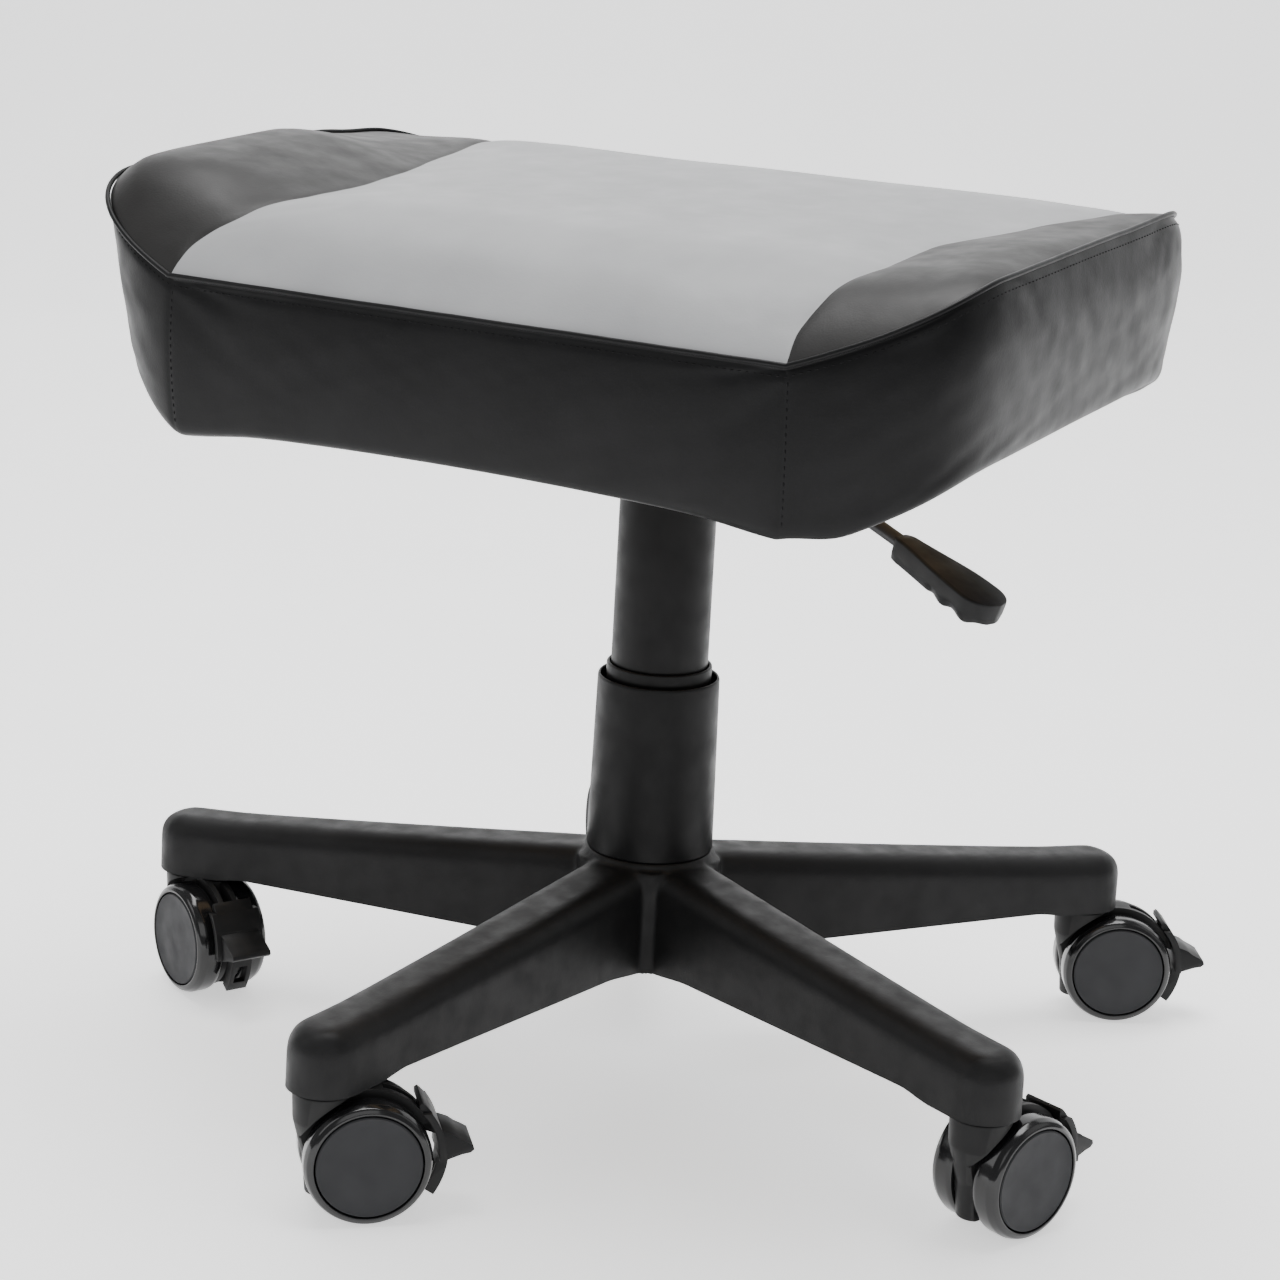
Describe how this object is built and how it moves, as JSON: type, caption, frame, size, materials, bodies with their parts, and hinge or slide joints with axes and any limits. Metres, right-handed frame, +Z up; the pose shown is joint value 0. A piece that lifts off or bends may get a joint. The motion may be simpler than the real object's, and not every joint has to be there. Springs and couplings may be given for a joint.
{
  "type": "castered footrest stool",
  "caption": "Upholstered rectangular footrest stool with waterfall edges on a height-adjustable column, lever release and five-leg base with braked casters.",
  "frame": {"origin": "on the floor, on the axis of the gas column, which is the centre of the stool's bounding box to within 3 mm", "axes": "+Z up along the column; +X along the seat's long side, away from the lever's opposite side; -Y is the front, the lower long edge of the tilted seat"},
  "size_m": [0.5746, 0.5946, 0.4906],
  "materials": {
    "base_nylon": "fine-grained matte black moulding",
    "cover_plastic": "smooth matte black moulding",
    "caster_moulding": "satin black moulding",
    "wheel_gloss": "polished black",
    "cap_grey": "matte dark grey",
    "black_steel": "satin black paint",
    "zinc_steel": "bright zinc plate",
    "acetal": "natural white",
    "plywood": "raw birch veneer",
    "foam": "open-cell cushion foam",
    "leatherette_black": "fine-grained black leatherette with a low sheen",
    "leatherette_grey": "fine-grained light grey leatherette"
  },
  "bodies": {
    "base": {"star_base": "base_nylon", "column_outer_tube": "black_steel", "guide_bush": "acetal", "cover_lower": "cover_plastic", "cover_middle": "cover_plastic", "caster_1_stem": "zinc_steel", "caster_2_stem": "zinc_steel", "caster_3_stem": "zinc_steel", "caster_4_stem": "zinc_steel", "caster_5_stem": "zinc_steel"},
    "piston": {"piston_rod": "zinc_steel", "retaining_clip": "zinc_steel"},
    "seat": {"column_inner_tube": "black_steel", "cover_upper": "cover_plastic", "seat_plate": "black_steel", "seat_board": "plywood", "seat_foam": "foam", "seat_cover": "leatherette_black", "seat_bolt_1": "zinc_steel", "seat_bolt_2": "zinc_steel", "seat_bolt_3": "zinc_steel", "seat_bolt_4": "zinc_steel"},
    "release_pin": {"release_pin": "zinc_steel"},
    "lever": {"lever_rod": "black_steel", "lever_handle": "caster_moulding"},
    "caster_1_fork": {"caster_1_housing": "caster_moulding", "caster_1_axle": "zinc_steel"},
    "caster_1_wheel_left_set": {"caster_1_wheel_left": "wheel_gloss", "caster_1_cap_left": "cap_grey"},
    "caster_1_wheel_right_set": {"caster_1_wheel_right": "wheel_gloss", "caster_1_cap_right": "cap_grey"},
    "caster_1_brake_pedal": {"caster_1_brake": "caster_moulding"},
    "caster_2_fork": {"caster_2_housing": "caster_moulding", "caster_2_axle": "zinc_steel"},
    "caster_2_wheel_left_set": {"caster_2_wheel_left": "wheel_gloss", "caster_2_cap_left": "cap_grey"},
    "caster_2_wheel_right_set": {"caster_2_wheel_right": "wheel_gloss", "caster_2_cap_right": "cap_grey"},
    "caster_2_brake_pedal": {"caster_2_brake": "caster_moulding"},
    "caster_3_fork": {"caster_3_housing": "caster_moulding", "caster_3_axle": "zinc_steel"},
    "caster_3_wheel_left_set": {"caster_3_wheel_left": "wheel_gloss", "caster_3_cap_left": "cap_grey"},
    "caster_3_wheel_right_set": {"caster_3_wheel_right": "wheel_gloss", "caster_3_cap_right": "cap_grey"},
    "caster_3_brake_pedal": {"caster_3_brake": "caster_moulding"},
    "caster_4_fork": {"caster_4_housing": "caster_moulding", "caster_4_axle": "zinc_steel"},
    "caster_4_wheel_left_set": {"caster_4_wheel_left": "wheel_gloss", "caster_4_cap_left": "cap_grey"},
    "caster_4_wheel_right_set": {"caster_4_wheel_right": "wheel_gloss", "caster_4_cap_right": "cap_grey"},
    "caster_4_brake_pedal": {"caster_4_brake": "caster_moulding"},
    "caster_5_fork": {"caster_5_housing": "caster_moulding", "caster_5_axle": "zinc_steel"},
    "caster_5_wheel_left_set": {"caster_5_wheel_left": "wheel_gloss", "caster_5_cap_left": "cap_grey"},
    "caster_5_wheel_right_set": {"caster_5_wheel_right": "wheel_gloss", "caster_5_cap_right": "cap_grey"},
    "caster_5_brake_pedal": {"caster_5_brake": "caster_moulding"}
  },
  "joints": [
    {"name": "seat_swivel", "type": "hinge", "parent": "base", "child": "piston", "pos_m": [0, 0, 0.0551], "axis": [0, 0, 1], "continuous": true},
    {"name": "height_adjust", "type": "slide", "parent": "piston", "child": "seat", "axis": [0, 0, 1], "range_m": [-0.05, 0.03]},
    {"name": "lever_lift", "type": "hinge", "parent": "seat", "child": "lever", "pos_m": [0.02295, -0.00702, 0.3713], "axis": [-0.2924, -0.9563, 0], "range_deg": [0, 6], "stiffness_Nm_per_rad": 2, "springref_deg": -6.88},
    {"name": "pin_press", "type": "slide", "parent": "seat", "child": "release_pin", "axis": [0, 0, 1], "range_m": [-0.0027, 0]},
    {"name": "caster_1_swivel", "type": "hinge", "parent": "base", "child": "caster_1_fork", "pos_m": [-0.02623, -0.27244, 0.0652], "axis": [0, 0, 1], "continuous": true},
    {"name": "caster_1_roll_left", "type": "hinge", "parent": "caster_1_fork", "child": "caster_1_wheel_left_set", "pos_m": [-0.01091, -0.25912, 0.03175], "axis": [-0.6561, 0.7547, 0], "continuous": true},
    {"name": "caster_1_roll_right", "type": "hinge", "parent": "caster_1_fork", "child": "caster_1_wheel_right_set", "pos_m": [-0.01091, -0.25912, 0.03175], "axis": [-0.6561, 0.7547, 0], "continuous": true},
    {"name": "caster_1_brake_press", "type": "hinge", "parent": "caster_1_fork", "child": "caster_1_brake_pedal", "pos_m": [0.00079, -0.24895, 0.05025], "axis": [-0.6561, 0.7547, 0], "range_deg": [0, 6]},
    {"name": "caster_2_swivel", "type": "hinge", "parent": "base", "child": "caster_2_fork", "pos_m": [0.251, -0.10914, 0.0652], "axis": [0, 0, 1], "continuous": true},
    {"name": "caster_2_roll_left", "type": "hinge", "parent": "caster_2_fork", "child": "caster_2_wheel_left_set", "pos_m": [0.25794, -0.09006, 0.03175], "axis": [-0.9397, 0.342, 0], "continuous": true},
    {"name": "caster_2_roll_right", "type": "hinge", "parent": "caster_2_fork", "child": "caster_2_wheel_right_set", "pos_m": [0.25794, -0.09006, 0.03175], "axis": [-0.9397, 0.342, 0], "continuous": true},
    {"name": "caster_2_brake_press", "type": "hinge", "parent": "caster_2_fork", "child": "caster_2_brake_pedal", "pos_m": [0.26324, -0.0755, 0.05025], "axis": [-0.9397, 0.342, 0], "range_deg": [0, 6]},
    {"name": "caster_3_swivel", "type": "hinge", "parent": "base", "child": "caster_3_fork", "pos_m": [0.18136, 0.20499, 0.0652], "axis": [0, 0, 1], "continuous": true},
    {"name": "caster_3_roll_left", "type": "hinge", "parent": "caster_3_fork", "child": "caster_3_wheel_left_set", "pos_m": [0.19857, 0.21575, 0.03175], "axis": [-0.5299, 0.848, 0], "continuous": true},
    {"name": "caster_3_roll_right", "type": "hinge", "parent": "caster_3_fork", "child": "caster_3_wheel_right_set", "pos_m": [0.19857, 0.21575, 0.03175], "axis": [-0.5299, 0.848, 0], "continuous": true},
    {"name": "caster_3_brake_press", "type": "hinge", "parent": "caster_3_fork", "child": "caster_3_brake_pedal", "pos_m": [0.21172, 0.22396, 0.05025], "axis": [-0.5299, 0.848, 0], "range_deg": [0, 6]},
    {"name": "caster_4_swivel", "type": "hinge", "parent": "base", "child": "caster_4_fork", "pos_m": [-0.13891, 0.23583, 0.0652], "axis": [0, 0, 1], "continuous": true},
    {"name": "caster_4_roll_left", "type": "hinge", "parent": "caster_4_fork", "child": "caster_4_wheel_left_set", "pos_m": [-0.15196, 0.25138, 0.03175], "axis": [-0.766, -0.6428, 0], "continuous": true},
    {"name": "caster_4_roll_right", "type": "hinge", "parent": "caster_4_fork", "child": "caster_4_wheel_right_set", "pos_m": [-0.15196, 0.25138, 0.03175], "axis": [-0.766, -0.6428, 0], "continuous": true},
    {"name": "caster_4_brake_press", "type": "hinge", "parent": "caster_4_fork", "child": "caster_4_brake_pedal", "pos_m": [-0.16193, 0.26325, 0.05025], "axis": [-0.766, -0.6428, 0], "range_deg": [0, 6]},
    {"name": "caster_5_swivel", "type": "hinge", "parent": "base", "child": "caster_5_fork", "pos_m": [-0.26721, -0.05924, 0.0652], "axis": [0, 0, 1], "continuous": true},
    {"name": "caster_5_roll_left", "type": "hinge", "parent": "caster_5_fork", "child": "caster_5_wheel_left_set", "pos_m": [-0.24897, -0.06814, 0.03175], "axis": [0.4384, 0.8988, 0], "continuous": true},
    {"name": "caster_5_roll_right", "type": "hinge", "parent": "caster_5_fork", "child": "caster_5_wheel_right_set", "pos_m": [-0.24897, -0.06814, 0.03175], "axis": [0.4384, 0.8988, 0], "continuous": true},
    {"name": "caster_5_brake_press", "type": "hinge", "parent": "caster_5_fork", "child": "caster_5_brake_pedal", "pos_m": [-0.23504, -0.07493, 0.05025], "axis": [0.4384, 0.8988, 0], "range_deg": [0, 6]}
  ],
  "couplings": [
    {"joint": "pin_press", "follows": "lever_lift", "m_per_rad": -0.024}
  ]
}
